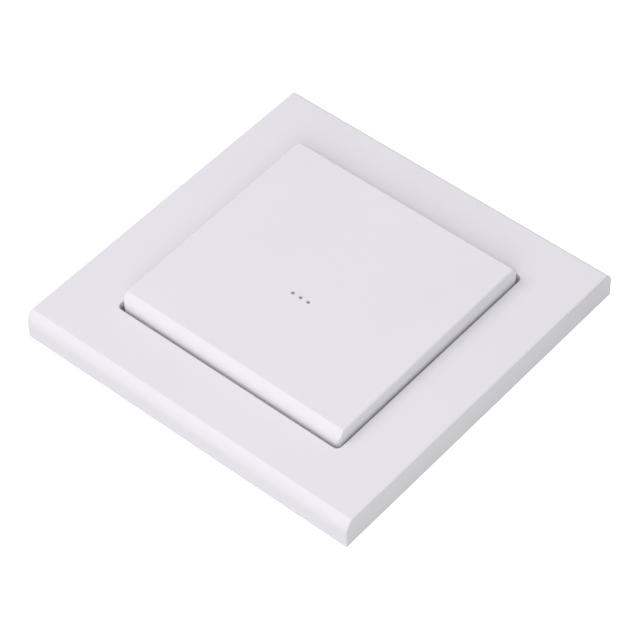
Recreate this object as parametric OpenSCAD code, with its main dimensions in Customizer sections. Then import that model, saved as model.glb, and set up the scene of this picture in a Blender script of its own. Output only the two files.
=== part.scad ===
// Battery-powered radio wall switch: a square cover frame with one wide centre-return rocker.
// Millimetres. The wall is the plane z = 0 and the rocker faces +Z. The rocker tilts about an axis along X.

/* [Frame] */
// Side of the square cover frame
frame_w = 80; // [78:0.5:86]
// Side of the square opening that the rocker stands in
opening_w = 55.4; // [54:0.2:57]
// Distance from the wall to the front face of the frame
frame_h = 6.5; // [6:0.1:8]
// Thickness of the outer walls of the frame
frame_wall = 2; // [1.6:0.1:2.4]
// Thickness of the front face of the frame
frame_skin = 2; // [1.6:0.1:2.4]
// Radius of the long arc along the upper and lower edges of the frame
frame_arc_r = 4; // [3.5:0.25:5.5]
// How far that arc comes in over the front face
frame_arc_inset = 1.6; // [1.2:0.05:1.8]
// Small radius of the left and right front edges of the frame
frame_edge_r = 0.35; // [0.2:0.05:0.6]
// Radius of the four corners of the frame, seen from the front
frame_corner_r = 0.2; // [0.1:0.1:1]
// Corner radius of the opening
opening_corner_r = 1.2; // [0.6:0.1:2]
// Thickness of the collar behind the opening
collar_t = 1.4; // [1:0.1:1.8]
// Clearance between the foot of the collar and the wall plate
collar_gap = 0.6; // [0.3:0.1:1]
// Thickness of the stiffening ribs behind the frame
frame_rib_t = 1.2; // [0.8:0.1:1.6]
// Depth of those ribs
frame_rib_h = 1.2; // [0.6:0.1:1.4]
// Distance between neighbouring ribs
frame_rib_pitch = 9; // [7:0.5:9]

/* [Rocker] */
// Gap between the rocker and the opening, left and right
rocker_gap_x = 0.55; // [0.4:0.05:0.8]
// Gap between the rocker and the opening, above and below
rocker_gap_y = 0.85; // [0.6:0.05:1.2]
// Height of the middle of the rocker's front face above the frame
rocker_rise = 3.5; // [3.2:0.1:5]
// Depth of the rocker's skirt below the frame's front face
rocker_sink = 2.5; // [1.5:0.1:2.7]
// Thickness of the rocker's skirt
rocker_wall = 1.5; // [1.2:0.1:1.8]
// Thickness of the rocker's front face
rocker_skin = 1.8; // [1.4:0.1:2]
// Radius of the long arc along the upper and lower edges of the rocker
rocker_arc_r = 5; // [4.5:0.25:6]
// How far that arc comes in over the front face of the rocker
rocker_arc_inset = 1.6; // [1.2:0.05:1.8]
// Slope of the rocker's front face, which stands further out towards its upper edge, in degrees
rocker_slope = 1.15; // [0.5:0.05:1.2]
// Small radius of the left and right front edges of the rocker
rocker_edge_r = 0.4; // [0.2:0.05:0.6]
// Radius of the four corners of the rocker, seen from the front
rocker_corner_r = 1; // [0.6:0.1:2]
// Tilt of the rocker each way from level, in degrees
rocker_tilt = 2; // [1:0.1:2]
// Thickness of the ribs under the rocker
rocker_rib_t = 1; // [0.8:0.1:1.4]
// Depth of the ribs under the rocker
rocker_rib_h = 0.5; // [0.3:0.1:0.5]
// Distance of the two long ribs from the skirt
rocker_rib_inset = 5.3; // [4:0.1:6]

/* [Hinge] */
// Height of the tilt axis above the wall
pivot_z = 4.4; // [4.2:0.1:4.6]
// Diameter of the two trunnion pins
pin_d = 2.4; // [2:0.1:2.6]
// Radial clearance between a pin and its bearing
pin_play = 0.03; // [0.02:0.01:0.08]
// Clearance at the end of each pin
pin_end_gap = 0.15; // [0.1:0.05:0.3]
// Thickness of the bearing ears inside the rocker
ear_t = 1.45; // [1.2:0.05:1.6]
// Width of the bearing ears along the skirt
ear_w = 5.2; // [4.4:0.2:8]
// Clearance between the ears and the tray
ear_gap = 0.4; // [0.3:0.05:0.5]
// Width of the snap mouth below each bearing
ear_mouth = 1.9; // [1.4:0.1:2]
// Material below the bearing, beside the snap mouth
ear_lip = 0.27; // [0.15:0.01:0.3]

/* [Wall plate] */
// Gap between the wall plate and the inner walls of the frame
plate_gap = 3; // [2.6:0.1:3.4]
// Thickness of the wall plate
plate_t = 1.8; // [1.4:0.1:2]
// Corner radius of the wall plate
plate_corner_r = 3; // [1:0.5:6]
// Distance between the two wall screws at the sides, and between the two above and below
screw_span = 60; // [58:0.5:62]
// Diameter of the wall screw holes and slots
screw_hole_d = 4.4; // [3.6:0.1:4.6]
// Diameter of the countersinks
sink_d = 7.2; // [5.5:0.1:7.4]
// Depth of the countersinks
sink_t = 1; // [0.6:0.1:1.2]
// End-to-end length of the two vertical slots
slot_l = 6.4; // [5:0.1:6.6]
// Distance of the snap hooks from the middle of each side
hook_y = 18; // [14:0.5:22]
// Width of each frame hook
hook_w = 6; // [4:0.5:8]
// Thickness of each frame hook
hook_t = 1; // [0.8:0.1:1.2]
// Reach of the barb on each frame hook
barb = 1.1; // [0.7:0.1:1.4]
// Height of the barb on each frame hook
barb_h = 0.8; // [0.5:0.1:1]
// Clearance between a hook and the catch that it holds
catch_gap = 0.15; // [0.1:0.05:0.3]
// Height of the catches inside the frame
catch_h = 1.2; // [0.8:0.1:1.5]
// Height of the catches' underside above the wall
catch_z = 1.2; // [0.8:0.1:1.4]
// Width of the stiffening ribs on the wall plate
plate_rib_t = 1.2; // [0.8:0.1:1.6]
// Height of the stiffening ribs on the wall plate
plate_rib_h = 0.6; // [0.4:0.1:0.8]
// Length of the stiffening ribs on the wall plate
plate_rib_l = 9; // [6:0.5:10]

/* [Transmitter case] */
// Height of the tray's underside above the wall
tray_z = 0.4; // [0.2:0.1:0.6]
// Thickness of the tray's floor
tray_floor = 1.2; // [0.8:0.1:1.4]
// Thickness of the tray's walls
tray_wall = 1.2; // [1:0.1:1.4]
// Height of the tray
tray_h = 5.4; // [5.2:0.1:5.6]
// Corner radius of the tray
tray_corner_r = 1.5; // [1:0.1:2.5]
// Clearance between the tray and the window in the wall plate
tray_gap = 0.4; // [0.2:0.1:0.6]
// Width of the flange that rests on the wall plate
flange_w = 1.1; // [0.8:0.1:1.3]
// Thickness of that flange
flange_t = 0.6; // [0.5:0.1:0.8]
// Distance of the tray hooks from the tilt axis
clip_y = 14; // [11:0.5:17]
// Width of each tray hook
clip_w = 5; // [3:0.5:7]
// Thickness of each tray hook
clip_t = 0.9; // [0.7:0.1:1]
// Clearance between the tray hooks and the flange
clip_gap = 0.1; // [0.05:0.05:0.2]
// Height of the nose on each tray hook
nose_h = 0.5; // [0.4:0.05:0.6]
// Thickness of the case cover
cover_t = 0.8; // [0.6:0.1:0.9]
// Clearance between the four screw bosses and the tray's walls
boss_inset = 1.15; // [0.8:0.05:1.5]
// Diameter of the case screws
case_screw_d = 1.7; // [1.4:0.1:2]
// Diameter of the case screw heads
case_head_d = 3.2; // [2.8:0.1:3.4]
// Height of the case screw heads
case_head_h = 1; // [0.7:0.1:1.1]
// Wall around the case screws in the bosses
boss_wall = 1.1; // [0.8:0.1:1.2]
// Clearance around the case screws and their heads
screw_play = 0.05; // [0.03:0.01:0.1]
// Clearance around the windows in the case cover
window_gap = 0.4; // [0.2:0.1:0.5]

/* [Circuit board] */
// Height of the bosses that carry the board
boss_h = 0.8; // [0.6:0.1:1]
// Thickness of the board
board_t = 1; // [0.8:0.1:1.2]
// Clearance around the board
board_gap = 0.3; // [0.2:0.1:0.5]
// Corner radius of the board
board_corner_r = 1; // [0.5:0.1:2]
// Length of the encoder chip
chip_l = 8.7; // [8.4:0.1:9]
// Width of the encoder chip
chip_w = 3.9; // [3.6:0.1:4.2]
// Height of the encoder chip
chip_h = 1.4; // [1.2:0.1:1.6]
// Distance between the chip's leads
lead_pitch = 1.27; // [1.1:0.01:1.35]
// Number of leads on each side of the chip
leads = 7; // [4:1:7]
// Width of each lead
lead_w = 0.42; // [0.3:0.01:0.6]
// Thickness of each lead
lead_t = 0.2; // [0.15:0.01:0.25]
// Reach of each lead from the chip
lead_reach = 1.05; // [0.9:0.05:1.3]
// Length of the radio resonator
resonator_l = 5; // [4:0.1:6]
// Width of the radio resonator
resonator_w = 3.5; // [3:0.1:4]
// Height of the radio resonator
resonator_h = 1.4; // [1:0.1:1.8]
// Diameter of the aerial's wire
wire_d = 0.5; // [0.4:0.05:0.6]
// Outer diameter of the aerial coil
coil_d = 2.1; // [1.8:0.05:2.2]
// Length of the aerial coil
coil_l = 16; // [12:0.5:20]
// Number of turns in the aerial coil
coil_turns = 13; // [8:1:16]

/* [Battery] */
// Diameter of the coin cell
cell_d = 20; // [19.6:0.1:20.2]
// Thickness of the coin cell
cell_t = 3.2; // [2.5:0.1:3.3]
// Thickness of the floor of the cell holder
holder_floor = 0.4; // [0.3:0.05:0.5]
// Thickness of the wall of the cell holder
holder_wall = 0.8; // [0.6:0.05:0.9]
// Height of the wall of the cell holder
holder_h = 2.6; // [2:0.1:2.8]
// Radial clearance around the coin cell
cell_gap = 0.1; // [0.05:0.05:0.15]
// Width of the case cover beside the cell's window
cell_margin = 1.2; // [1:0.1:2]
// Clearance between the cell's window and the nearest screw boss
cell_boss_gap = 0.87; // [0.5:0.01:1]
// Thickness of the battery contacts
contact_t = 0.25; // [0.15:0.05:0.3]
// Width of the battery contacts
contact_w = 4; // [3:0.1:5]
// How far the upper contact reaches over the cell
contact_reach = 6; // [4:0.5:8]

/* [Push switches] */
// Side of a push switch
switch_w = 6; // [5.8:0.1:6.2]
// Height of the body of a push switch
switch_h = 3.1; // [2.9:0.1:3.2]
// Thickness of the metal cover of a push switch
switch_cover_t = 0.25; // [0.15:0.05:0.3]
// Diameter of the plunger
plunger_d = 3.4; // [3:0.1:3.6]
// Diameter of the plunger's collar
plunger_collar_d = 4.3; // [4.1:0.1:4.6]
// Thickness of the plunger's collar
plunger_collar_t = 0.6; // [0.4:0.1:0.7]
// Height of the plunger above the metal cover when the rocker is level
plunger_out = 0.6; // [0.6:0.05:0.7]
// Radial clearance around the plunger
plunger_gap = 0.1; // [0.05:0.05:0.15]
// Spare travel at each end of the plunger's stroke
stroke_spare = 0.05; // [0.03:0.01:0.1]
// Diameter of the push posts under the rocker
post_d = 2; // [1.6:0.1:2.4]
// Gap between a push post and its plunger when the rocker is level
post_gap = 0.06; // [0.05:0.01:0.08]
// Width of a switch leg
leg_w = 0.7; // [0.5:0.1:0.9]
// Thickness of a switch leg
leg_t = 0.2; // [0.15:0.05:0.25]
// Reach of a switch leg from the body
leg_reach = 1.2; // [0.8:0.1:1.4]
// Height of a switch leg up the side of the body
leg_h = 1; // [0.7:0.1:1.4]

/* [Indicator] */
// Diameter of the pinholes in the rocker
pinhole_d = 0.7; // [0.5:0.05:0.9]
// Distance between neighbouring pinholes
pinhole_pitch = 1.9; // [1.4:0.05:2.1]
// Number of pinholes
pinholes = 3; // [1:1:3]
// Distance of the pinholes below the middle of the coin cell
indicator_drop = 13.7; // [13:0.1:14.5]
// Thickness of the front face at the pinholes
pinhole_wall = 0.8; // [0.5:0.1:1]
// Width of the light guide
guide_w = 1.8; // [1.4:0.1:2.2]
// Overhang of the light guide's flange
guide_flange = 0.4; // [0.3:0.1:0.6]
// Thickness of the light guide's flange
guide_flange_t = 0.4; // [0.3:0.1:0.5]
// Gap between the light guide and the wall with the pinholes
guide_gap = 0.8; // [0.6:0.1:1]
// Clearance around the light guide in the rocker's pocket
guide_room = 0.7; // [0.5:0.1:1]
// Length of the lamp
lamp_l = 3.5; // [3:0.1:3.8]
// Width of the lamp
lamp_w = 2.8; // [2.4:0.1:3]
// Height of the lamp
lamp_h = 1.6; // [1.2:0.1:1.7]
// Height of the lamp's lens within that height
lens_h = 0.5; // [0.3:0.1:0.6]

/* [Hidden] */
$fn = 64;

// Overrun of every cut past the face that it opens
over = 1;
SIDES = [-1, 1];
CORNERS = [for (x = SIDES, y = SIDES) [x, y]];

// Rocker
rocker_x = opening_w - 2 * rocker_gap_x;
rocker_y = opening_w - 2 * rocker_gap_y;
rocker_top = frame_h + rocker_rise;
skirt_z = frame_h - rocker_sink;
ceiling_z = rocker_top - rocker_skin;
skirt_in_x = rocker_x / 2 - rocker_wall;
skirt_in_y = rocker_y / 2 - rocker_wall;

// Transmitter case
tray_w = 2 * (skirt_in_x - ear_t - ear_gap);
tray_in_w = tray_w - 2 * tray_wall;
tray_top = tray_z + tray_h;
cover_top = tray_top + cover_t;
flange_out = tray_w / 2 + flange_w;
flange_top = plate_t + flange_t;

// Wall plate
plate_w = frame_w - 2 * (frame_wall + plate_gap);
window_w = tray_w + 2 * tray_gap;
cavity_w = frame_w - 2 * frame_wall;
cavity_top = frame_h - frame_skin;
collar_w = opening_w + 2 * collar_t;

// Circuit board
board_z = tray_z + tray_floor + boss_h;
board_top = board_z + board_t;
board_w = tray_in_w - 2 * board_gap;
boss_r = case_screw_d / 2 + boss_wall;
case_screw_xy = tray_in_w / 2 - boss_r - boss_inset;

// Battery, against the right wall of the tray and clear of the upper right screw boss
holder_r = cell_d / 2 + cell_gap + holder_wall;
cell_window_r = holder_r + window_gap;
cell_x = tray_w / 2 - cell_window_r - cell_margin;
cell_y = case_screw_xy
    - sqrt(pow(cell_window_r + boss_r + cell_boss_gap, 2) - pow(case_screw_xy - cell_x, 2));
cell_z = board_top + holder_floor;
contact_turn = 225;

// Push switches: in the strip left of the cell, one each way between the chip and a screw boss
switch_x_share = 0.45;
switch_y_share = 0.54;
switch_x = -board_w / 2 + switch_x_share * (board_w / 2 + cell_x - holder_r);
switch_y = chip_l / 2 + switch_y_share * (case_screw_xy - boss_r - chip_l / 2);
switch_top = board_top + switch_h;
switch_cover_top = switch_top + switch_cover_t;
plunger_top = switch_cover_top + plunger_out;
stroke = switch_y * tan(rocker_tilt);
collar_top = switch_top - stroke - stroke_spare;
collar_z = collar_top - plunger_collar_t;
well_z = collar_z - stroke - 2 * stroke_spare;
leg_x_share = 0.375;

// Indicator
indicator_y = cell_y - indicator_drop;
pinhole_foot = rocker_top + indicator_y * tan(rocker_slope) - pinhole_wall;
guide_l = (pinholes - 1) * pinhole_pitch + pinhole_d + guide_w / 2;
guide_top = pinhole_foot - guide_gap;
lamp_gap = 0.2;
guide_z = board_top + lamp_h + lamp_gap;

// Outlines, drawn around the origin
module rounded_square(x, y, r) {
    square([x - 2 * r, y], center = true);
    square([x, y - 2 * r], center = true);
    for (c = CORNERS)
        translate([c[0] * (x / 2 - r), c[1] * (y / 2 - r)]) circle(r);
}

module slot_outline(length, width) {
    square([length - width, width], center = true);
    for (s = SIDES)
        translate([s * (length - width) / 2, 0]) circle(width / 2);
}

// A bar section whose two upper corners are arcs, cut off by a flat top where the arcs have come in by inset
module arched_section(width, z0, z1, arc_r, inset) {
    arc_z = z1 - sqrt(arc_r * arc_r - (arc_r - inset) * (arc_r - inset));
    intersection() {
        translate([-width / 2, z0]) square([width, z1 - z0]);
        union() {
            translate([-width / 2, z0]) square([width, arc_z - z0]);
            translate([-width / 2 + arc_r, z0]) square([width - 2 * arc_r, z1 - z0]);
            for (s = SIDES)
                translate([s * (width / 2 - arc_r), arc_z]) circle(arc_r);
        }
    }
}

// The same section with plain quarter rounds
module rounded_section(width, z0, z1, r) {
    translate([-width / 2, z0]) square([width, z1 - z0 - r]);
    translate([-width / 2 + r, z0]) square([width - 2 * r, z1 - z0]);
    for (s = SIDES)
        translate([s * (width / 2 - r), z1 - r]) circle(r);
}

// Solid block with arched upper and lower edges, softened side edges and rounded corners
module front_block(x, y, z0, z1, arc_r, inset, edge_r, corner_r) {
    intersection() {
        rotate([90, 0, 90])
            translate([0, 0, -x / 2]) linear_extrude(x) arched_section(y, z0, z1, arc_r, inset);
        rotate([90, 0, 0])
            translate([0, 0, -y / 2]) linear_extrude(y) rounded_section(x, z0, z1, edge_r);
        translate([0, 0, z0]) linear_extrude(z1 - z0) rounded_square(x, y, corner_r);
    }
}

module plate(outline_z, thickness) {
    translate([0, 0, outline_z]) linear_extrude(thickness) children();
}

// A block given by its lowest corner and its size
module block(corner, size) {
    translate(corner) cube(size);
}

// Square cover frame, open behind
module cover_frame() {
    color("white") difference() {
        union() {
            difference() {
                front_block(frame_w, frame_w, 0, frame_h,
                            frame_arc_r, frame_arc_inset, frame_edge_r, frame_corner_r);
                plate(-over, cavity_top + over) difference() {
                    rounded_square(cavity_w, cavity_w, frame_corner_r);
                    rounded_square(collar_w, collar_w, opening_corner_r + collar_t);
                }
                plate(-over, plate_t + collar_gap + over)
                    rounded_square(collar_w + over, collar_w + over, opening_corner_r + collar_t);
            }
            frame_ribs();
            frame_catches();
        }
        plate(-over, frame_h + 2 * over) rounded_square(opening_w, opening_w, opening_corner_r);
    }
}

module frame_ribs() {
    rib_in = collar_w / 2 - collar_t / 2;
    rib_out = cavity_w / 2 + frame_wall / 2;
    for (turn = [0 : 90 : 270], i = [-1 : 1])
        rotate(turn)
            block([rib_in, i * frame_rib_pitch - frame_rib_t / 2, cavity_top - frame_rib_h],
                  [rib_out - rib_in, frame_rib_t, frame_rib_h + frame_skin / 2]);
}

// Catches for the wall plate's hooks at left and right, and locating blocks above and below
module frame_catches() {
    near = plate_w / 2 + catch_gap;
    far = cavity_w / 2 + frame_wall / 2;
    for (turn = [0 : 90 : 270], s = SIDES)
        rotate(turn)
            block([near, s * hook_y - hook_w / 2, catch_z], [far - near, hook_w, catch_h]);
}

// Plate that is screwed to the wall and holds the frame and the transmitter case
module wall_plate() {
    color("whitesmoke") {
        difference() {
            union() {
                plate(0, plate_t) rounded_square(plate_w, plate_w, plate_corner_r);
                plate_ribs();
            }
            plate(-over, plate_t + 2 * over) rounded_square(window_w, window_w, tray_corner_r);
            for (s = SIDES) {
                translate([s * screw_span / 2, 0, 0]) countersunk_hole();
                translate([0, s * screw_span / 2, -over])
                    linear_extrude(plate_t + 2 * over) rotate(90) slot_outline(slot_l, screw_hole_d);
            }
        }
        frame_hooks();
        tray_hooks();
    }
}

module countersunk_hole() {
    translate([0, 0, -over]) cylinder(d = screw_hole_d, h = plate_t + 2 * over);
    translate([0, 0, plate_t - sink_t]) cylinder(d1 = screw_hole_d, d2 = sink_d, h = sink_t);
    translate([0, 0, plate_t]) cylinder(d = sink_d, h = over);
}

module plate_ribs() {
    middle = (window_w + plate_w) / 4;
    for (turn = [45 : 90 : 315])
        rotate(turn) translate([middle * sqrt(2), 0, plate_t / 2])
            translate([-plate_rib_l / 2, -plate_rib_t / 2, 0])
                cube([plate_rib_l, plate_rib_t, plate_t / 2 + plate_rib_h]);
}

// A hook in section: a post with a barb that slopes on top, at the side where x grows
module hook_section(thickness, foot, barb_foot, barb_top, reach) {
    polygon([[0, foot], [thickness, foot], [thickness, barb_foot], [thickness + reach, barb_foot],
             [thickness, barb_top], [0, barb_top]]);
}

module hook(at_x, at_y, width, thickness, barb_foot, barb_top, reach) {
    translate([at_x, at_y + width / 2, 0]) rotate([90, 0, 0])
        linear_extrude(width) hook_section(thickness, plate_t / 2, barb_foot, barb_top, reach);
}

module frame_hooks() {
    foot = catch_z + catch_h + catch_gap;
    for (side = [0, 180], s = SIDES)
        rotate(side) hook(plate_w / 2 - hook_t, s * hook_y, hook_w, hook_t, foot, foot + barb_h, barb);
}

module tray_hooks() {
    foot = flange_top + clip_gap;
    for (side = [0, 1], s = SIDES)
        mirror([side, 0, 0]) translate([flange_out + clip_gap + clip_t, 0, 0]) mirror([1, 0, 0])
            hook(0, s * clip_y, clip_w, clip_t, foot, foot + nose_h, clip_gap + flange_w / 2);
}

// Tray that holds the board and carries the rocker on two trunnion pins
module case_tray() {
    color("gainsboro") {
        difference() {
            union() {
                plate(tray_z, tray_h) rounded_square(tray_w, tray_w, tray_corner_r);
                plate(plate_t, flange_t)
                    rounded_square(2 * flange_out, 2 * flange_out, tray_corner_r + flange_w);
                for (s = SIDES) trunnion_pin(s);
            }
            difference() {
                plate(tray_z + tray_floor, tray_h)
                    rounded_square(tray_in_w, tray_in_w, tray_corner_r - tray_wall / 2);
                for (c = CORNERS)
                    translate([c[0] * case_screw_xy, c[1] * case_screw_xy, tray_z])
                        cylinder(r = boss_r, h = board_z - tray_z);
            }
            for (c = CORNERS)
                translate([c[0] * case_screw_xy, c[1] * case_screw_xy, tray_z + tray_floor / 2])
                    cylinder(d = case_screw_d + 2 * screw_play, h = tray_h);
        }
    }
}

module trunnion_pin(s) {
    root = tray_w / 2 - tray_wall / 2;
    tip = skirt_in_x - pin_end_gap;
    translate([s * root, 0, pivot_z]) rotate([0, s * 90, 0]) cylinder(d = pin_d, h = tip - root);
}

// Cover over the board, with windows for the switches, the cell and the light guide
module case_cover() {
    color("gainsboro") difference() {
        union() {
            plate(tray_top, cover_t) rounded_square(tray_w, tray_w, tray_corner_r);
            for (c = CORNERS)
                translate([c[0] * case_screw_xy, c[1] * case_screw_xy, board_top])
                    cylinder(r = boss_r, h = cover_top - board_top);
        }
        for (s = SIDES)
            translate([switch_x, s * switch_y, tray_top - over])
                linear_extrude(cover_t + 2 * over)
                    square(switch_w + 2 * window_gap, center = true);
        translate([cell_x, cell_y, tray_top - over])
            cylinder(r = cell_window_r, h = cover_t + 2 * over);
        translate([0, indicator_y, tray_top - over])
            linear_extrude(cover_t + 2 * over)
                slot_outline(guide_l + 2 * screw_play, guide_w + 2 * screw_play);
        for (c = CORNERS)
            translate([c[0] * case_screw_xy, c[1] * case_screw_xy, 0]) {
                cylinder(d = case_screw_d + 2 * screw_play, h = rocker_top);
                translate([0, 0, cover_top - case_head_h - screw_play])
                    cylinder(d = case_head_d + 2 * screw_play, h = rocker_top);
            }
    }
}

module case_screws() {
    head_z = cover_top - case_head_h - screw_play;
    tip_z = tray_z + tray_floor / 2 + screw_play;
    drive_w_share = 0.18;
    drive_l_share = 0.6;
    color("silver")
        for (c = CORNERS)
            translate([c[0] * case_screw_xy, c[1] * case_screw_xy, 0]) difference() {
                union() {
                    translate([0, 0, tip_z]) cylinder(d = case_screw_d, h = head_z - tip_z);
                    translate([0, 0, head_z]) cylinder(d = case_head_d, h = case_head_h);
                }
                for (turn = [0, 90])
                    rotate(turn) translate([0, 0, head_z + case_head_h])
                        cube([case_head_d * drive_l_share, case_head_d * drive_w_share, case_head_h],
                             center = true);
            }
}

// Wide rocker: a thin shell with bearing ears, push posts, ribs and three pinholes
module rocker() {
    color("white") difference() {
        union() {
            difference() {
                rocker_outside();
                plate(skirt_z - over, ceiling_z - skirt_z + over)
                    rounded_square(2 * skirt_in_x, 2 * skirt_in_y, rocker_corner_r / 2);
            }
            for (s = SIDES) bearing_ear(s);
            for (s = SIDES) translate([switch_x, s * switch_y, plunger_top + post_gap])
                cylinder(d = post_d, h = ceiling_z - plunger_top - post_gap + rocker_skin / 2);
            rocker_ribs();
        }
        translate([0, indicator_y, ceiling_z - over])
            linear_extrude(pinhole_foot - ceiling_z + over)
                slot_outline(guide_l + 2 * guide_room, guide_w + 2 * guide_room);
        for (i = [0 : pinholes - 1])
            translate([(i - (pinholes - 1) / 2) * pinhole_pitch, indicator_y, ceiling_z])
                cylinder(d = pinhole_d, h = rocker_skin + over, $fn = 32);
    }
}

// The outside of the rocker leans by its slope and ends level at the foot of the skirt
module rocker_outside() {
    difference() {
        translate([0, 0, rocker_top]) rotate([rocker_slope, 0, 0]) translate([0, 0, -rocker_top])
            front_block(rocker_x, rocker_y, skirt_z - over, rocker_top,
                        rocker_arc_r, rocker_arc_inset, rocker_edge_r, rocker_corner_r);
        translate([-opening_w / 2, -opening_w / 2, skirt_z - 3 * over]) cube([opening_w, opening_w, 3 * over]);
    }
}

// Ear with a round bearing that opens downwards, so that the rocker snaps onto its pin
module bearing_ear(s) {
    bearing_r = pin_d / 2 + pin_play;
    foot_z = pivot_z - bearing_r - ear_lip;
    mirror([s < 0 ? 1 : 0, 0, 0]) translate([skirt_in_x - ear_t, 0, 0]) rotate([90, 0, 90])
        linear_extrude(ear_t + rocker_wall / 2) difference() {
            translate([-ear_w / 2, foot_z]) square([ear_w, ceiling_z - foot_z + rocker_skin / 2]);
            translate([0, pivot_z]) circle(bearing_r);
            translate([-ear_mouth / 2, foot_z - over]) square([ear_mouth, pivot_z - foot_z + over]);
        }
}

module rocker_ribs() {
    rib_l = 2 * skirt_in_x + rocker_wall;
    rib_y = skirt_in_y - rocker_rib_inset;
    rib_high = rocker_rib_h + rocker_skin / 4;
    for (s = SIDES)
        block([-rib_l / 2, s * rib_y - rocker_rib_t / 2, ceiling_z - rocker_rib_h],
              [rib_l, rocker_rib_t, rib_high]);
    for (s = SIDES)
        mirror([0, s < 0 ? 1 : 0, 0])
            for (x = [switch_x, 0, -switch_x])
                block([x - rocker_rib_t / 2, rib_y, ceiling_z - rocker_rib_h],
                      [rocker_rib_t, rocker_rib_inset + rocker_wall / 4, rib_high]);
}

// Clear guide that brings the lamp's light up to the pinholes
module light_guide() {
    color("lightcyan") translate([0, indicator_y, 0]) {
        plate(guide_z, guide_top - guide_z) slot_outline(guide_l, guide_w);
        plate(cover_top, guide_flange_t)
            slot_outline(guide_l + 2 * guide_flange, guide_w + 2 * guide_flange);
    }
}

module circuit_board() {
    color("seagreen") difference() {
        plate(board_z, board_t) rounded_square(board_w, board_w, board_corner_r);
        for (c = CORNERS)
            translate([c[0] * case_screw_xy, c[1] * case_screw_xy, board_z - over])
                cylinder(d = case_screw_d + 4 * screw_play, h = board_t + 2 * over);
    }
}

module at_cell() {
    translate([cell_x, cell_y, 0]) children();
}

// Ring that holds the cell, with a gap for the upper contact and two finger notches
module battery_holder() {
    notch_share = 0.5;
    color("dimgray") at_cell() difference() {
        translate([0, 0, board_top]) cylinder(r = holder_r, h = holder_floor + holder_h);
        translate([0, 0, cell_z]) cylinder(r = cell_d / 2 + cell_gap, h = holder_h + over);
        translate([0, 0, board_top - over]) cylinder(d = 2 * contact_w, h = holder_floor + 2 * over);
        rotate(contact_turn) block([cell_d / 2 - holder_wall, -contact_w / 2 - cell_gap, board_top - over],
                                   [3 * holder_wall, contact_w + 2 * cell_gap, holder_h + 2 * over]);
        for (s = SIDES)
            rotate(contact_turn + s * 90)
                block([cell_d / 2 - holder_wall, -contact_w, cell_z + holder_h * notch_share],
                      [3 * holder_wall, 2 * contact_w, holder_h]);
    }
}

// Coin cell: a wide can with a slightly smaller cap below
module coin_cell() {
    can_share = 0.8;
    cap_share = 0.9;
    color("silver") at_cell() {
        translate([0, 0, cell_z + cell_t * (1 - can_share)]) cylinder(d = cell_d, h = cell_t * can_share);
        translate([0, 0, cell_z]) cylinder(d = cell_d * cap_share, h = cell_t * (1 - can_share));
    }
}

// Upper contact: a leg in the holder's gap and a tongue over the cell
module positive_contact() {
    leg_in = cell_d / 2 + cell_gap;
    cell_top = cell_z + cell_t;
    color("goldenrod") at_cell() rotate(contact_turn) {
        block([leg_in, -contact_w / 2, board_top], [contact_t, contact_w, cell_top + contact_t - board_top]);
        block([leg_in - contact_reach, -contact_w / 2, cell_top],
              [contact_reach + contact_t, contact_w, contact_t]);
    }
}

// Lower contact: a round pad with a raised middle, in the hole of the holder's floor
module negative_contact() {
    color("goldenrod") at_cell() {
        translate([0, 0, board_top]) cylinder(d = 2 * contact_w - 4 * cell_gap, h = contact_t);
        translate([0, 0, board_top]) cylinder(d = contact_w, h = holder_floor);
    }
}

module at_switch(s) {
    translate([switch_x, s * switch_y, 0]) children();
}

module switch_body(s) {
    color("darkslategray") at_switch(s) difference() {
        plate(board_top, switch_h) square(switch_w, center = true);
        translate([0, 0, well_z])
            cylinder(d = plunger_collar_d + 2 * plunger_gap, h = switch_top - well_z + over);
    }
}

module switch_cover(s) {
    color("silver") at_switch(s) plate(switch_top, switch_cover_t) difference() {
        square(switch_w, center = true);
        circle(d = plunger_d + 2 * plunger_gap);
    }
}

// Plunger with a collar that the metal cover keeps in
module switch_plunger(s) {
    color("black") at_switch(s) {
        translate([0, 0, collar_z]) cylinder(d = plunger_collar_d, h = plunger_collar_t);
        translate([0, 0, collar_z]) cylinder(d = plunger_d, h = plunger_top - collar_z);
    }
}

// Gull-wing legs at the left and right of both switches
module switch_legs() {
    color("silver")
        for (s = SIDES, c = CORNERS)
            at_switch(s) translate([c[0] * switch_w / 2, c[1] * switch_w * leg_x_share, board_top])
                rotate([90, 0, c[0] < 0 ? 180 : 0]) translate([0, 0, -leg_w / 2])
                    linear_extrude(leg_w) polygon([[0, 0], [leg_reach, 0], [leg_reach, leg_t],
                                                   [leg_t, leg_t], [leg_t, leg_h], [0, leg_h]]);
}

module status_lamp() {
    color("ivory") translate([0, indicator_y, 0]) {
        plate(board_top, lamp_h - lens_h) square([lamp_l, lamp_w], center = true);
        plate(board_top, lamp_h) rounded_square(lamp_l - lens_h, lamp_w - lens_h, lens_h);
    }
}

// The chip lies between the two switches
chip_x = switch_x;
lead_rise_share = 0.5;

module encoder_chip() {
    stand = lead_t / 2;
    dot_d = chip_w / 6;
    color("black") translate([chip_x, 0, 0]) difference() {
        plate(board_top + stand, chip_h) square([chip_w, chip_l], center = true);
        translate([-chip_w / 4, chip_l / 2 - chip_w / 4, board_top + chip_h]) cylinder(d = dot_d, h = over);
    }
}

// One lead in section: out of the chip's side, down and out again onto the board
module lead_section() {
    rise = chip_h * lead_rise_share;
    knee = lead_reach / 2;
    polygon([[0, rise], [knee - lead_t, rise], [knee - lead_t, 0], [lead_reach, 0], [lead_reach, lead_t],
             [knee, lead_t], [knee, rise + lead_t], [0, rise + lead_t]]);
}

module chip_leads() {
    color("silver")
        for (side = [0, 180], i = [0 : leads - 1])
            translate([chip_x, (i - (leads - 1) / 2) * lead_pitch, board_top])
                rotate([90, 0, side]) translate([chip_w / 2, 0, -lead_w / 2])
                    linear_extrude(lead_w) lead_section();
}

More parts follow.
